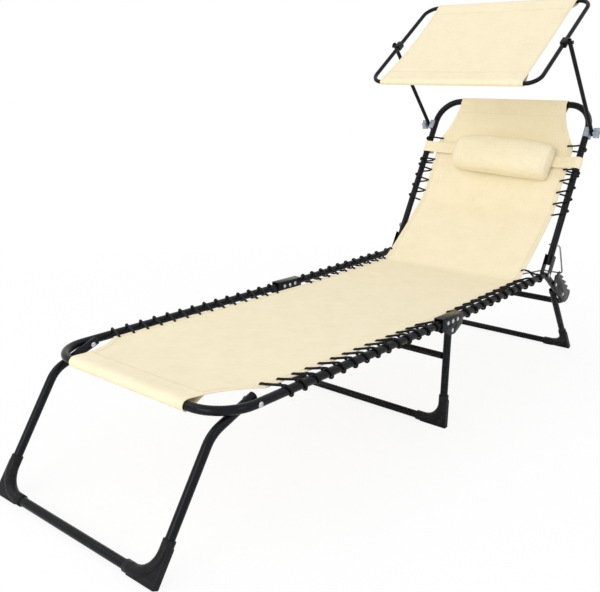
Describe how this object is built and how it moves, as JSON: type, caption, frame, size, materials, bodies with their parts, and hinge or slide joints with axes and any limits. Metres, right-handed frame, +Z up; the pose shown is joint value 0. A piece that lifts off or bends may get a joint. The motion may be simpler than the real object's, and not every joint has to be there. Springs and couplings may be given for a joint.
{
  "type": "sun lounger with canopy",
  "caption": "Folding sun lounger: laced sling on a tubular steel frame with fold-flat legs, a reclining back, a head pillow and a canopy that swings and tilts.",
  "frame": {"origin": "on the floor, under the middle of the whole lounger with its back up and its canopy out", "axes": "+Z up, +Y from the foot end towards the head end, +X towards the side rail that is on the right for someone who stands at the foot end and looks towards the head end"},
  "size_m": [0.6448, 1.8822, 1.153],
  "materials": {
    "frame": "satin powder coat",
    "fittings": "satin powder coat",
    "rivets": "zinc plated",
    "wire": "zinc plated",
    "boots": "moulded matte",
    "clamps": "moulded matte",
    "knobs": "moulded satin",
    "sling": "fine woven matte",
    "pillow": "fine woven matte",
    "lacing": "braided elastic cord"
  },
  "bodies": {
    "seat_section": {"seat_rails": "frame", "seat_sling": "sling", "ratchet_plate_right": "fittings", "ratchet_plate_left": "fittings", "ratchet_rivet_right": "rivets", "ratchet_rivet_left": "rivets", "rear_leg_bolt_right": "rivets", "rear_leg_bolt_left": "rivets", "back_hinge_bolt_right": "rivets", "back_hinge_bolt_left": "rivets", "seat_lacing_right": "lacing", "seat_lacing_left": "lacing"},
    "middle_leg": {"middle_leg_frame": "frame", "middle_leg_brace": "frame", "middle_boot_right": "boots", "middle_boot_left": "boots", "fold_bracket_right": "fittings", "fold_bracket_left": "fittings", "foot_pivot_rivet_right": "rivets", "foot_pivot_rivet_left": "rivets", "seat_pivot_rivet_right": "rivets", "seat_pivot_rivet_left": "rivets", "leg_rivet_upper_right": "rivets", "leg_rivet_upper_left": "rivets", "leg_rivet_lower_right": "rivets", "leg_rivet_lower_left": "rivets"},
    "foot_section": {"foot_rails": "frame", "foot_sling": "sling", "foot_lacing_right": "lacing", "foot_lacing_left": "lacing", "front_leg_bolt_right": "rivets", "front_leg_bolt_left": "rivets"},
    "front_leg": {"front_leg_frame": "frame", "front_boot_right": "boots", "front_boot_left": "boots", "front_leg_cap_right": "boots", "front_leg_cap_left": "boots"},
    "rear_leg": {"rear_leg_frame": "frame", "rear_boot_right": "boots", "rear_boot_left": "boots"},
    "backrest": {"back_frame": "frame", "back_sling": "sling", "head_pillow": "pillow", "back_hinge_clevis_right": "fittings", "back_hinge_clevis_left": "fittings", "back_lacing_right": "lacing", "back_lacing_left": "lacing", "pillow_strap_right": "pillow", "pillow_strap_left": "pillow", "canopy_clamp_right": "knobs", "canopy_clamp_left": "knobs"},
    "bail": {"recline_bail": "wire"},
    "canopy_arms": {"canopy_strut_right": "frame", "canopy_strut_left": "frame"},
    "canopy": {"canopy_frame": "frame", "canopy_cloth": "sling", "canopy_clip_right": "clamps", "canopy_clip_left": "clamps"},
    "right_knob": {"canopy_knob_right": "knobs"},
    "left_knob": {"canopy_knob_left": "knobs"}
  },
  "joints": [
    {"name": "section_fold", "type": "hinge", "parent": "seat_section", "child": "middle_leg", "pos_m": [0, 0.06914, 0.29973], "axis": [1, 0, 0], "range_deg": [0, 75]},
    {"name": "foot_fold", "type": "hinge", "parent": "middle_leg", "child": "foot_section", "pos_m": [0, 0.02108, 0.29858], "axis": [1, 0, 0], "range_deg": [0, 75]},
    {"name": "front_leg_fold", "type": "hinge", "parent": "foot_section", "child": "front_leg", "pos_m": [0, -0.67926, 0.28936], "axis": [1, 0, 0], "range_deg": [0, 121.01]},
    {"name": "rear_leg_fold", "type": "hinge", "parent": "seat_section", "child": "rear_leg", "pos_m": [0, 0.76575, 0.233], "axis": [-1, 0, 0], "range_deg": [0, 122.01]},
    {"name": "back_recline", "type": "hinge", "parent": "seat_section", "child": "backrest", "pos_m": [0, 0.63815, 0.3193], "axis": [1, 0, 0], "range_deg": [-57, 0]},
    {"name": "bail_swing", "type": "hinge", "parent": "backrest", "child": "bail", "pos_m": [0, 0.68325, 0.40743], "axis": [1, 0, 0], "range_deg": [0, 78.6]},
    {"name": "canopy_swing", "type": "hinge", "parent": "backrest", "child": "canopy_arms", "pos_m": [0, 0.84978, 0.74998], "axis": [1, 0, 0], "range_deg": [-60, 45]},
    {"name": "canopy_tilt", "type": "hinge", "parent": "canopy_arms", "child": "canopy", "pos_m": [0, 0.60672, 1.01337], "axis": [1, 0, 0], "range_deg": [-60, 50]},
    {"name": "right_knob_turn", "type": "hinge", "parent": "backrest", "child": "right_knob", "pos_m": [0.322, 0.84978, 0.74998], "axis": [1, 0, 0], "continuous": true},
    {"name": "left_knob_turn", "type": "hinge", "parent": "backrest", "child": "left_knob", "pos_m": [-0.322, 0.84978, 0.74998], "axis": [-1, 0, 0], "continuous": true}
  ],
  "couplings": [
    {"joint": "foot_fold", "follows": "section_fold", "ratio": 1},
    {"joint": "front_leg_fold", "follows": "section_fold", "ratio": 1.6133},
    {"joint": "rear_leg_fold", "follows": "section_fold", "ratio": 1.6267},
    {"joint": "bail_swing", "follows": "back_recline", "ratio": -1.37}
  ]
}
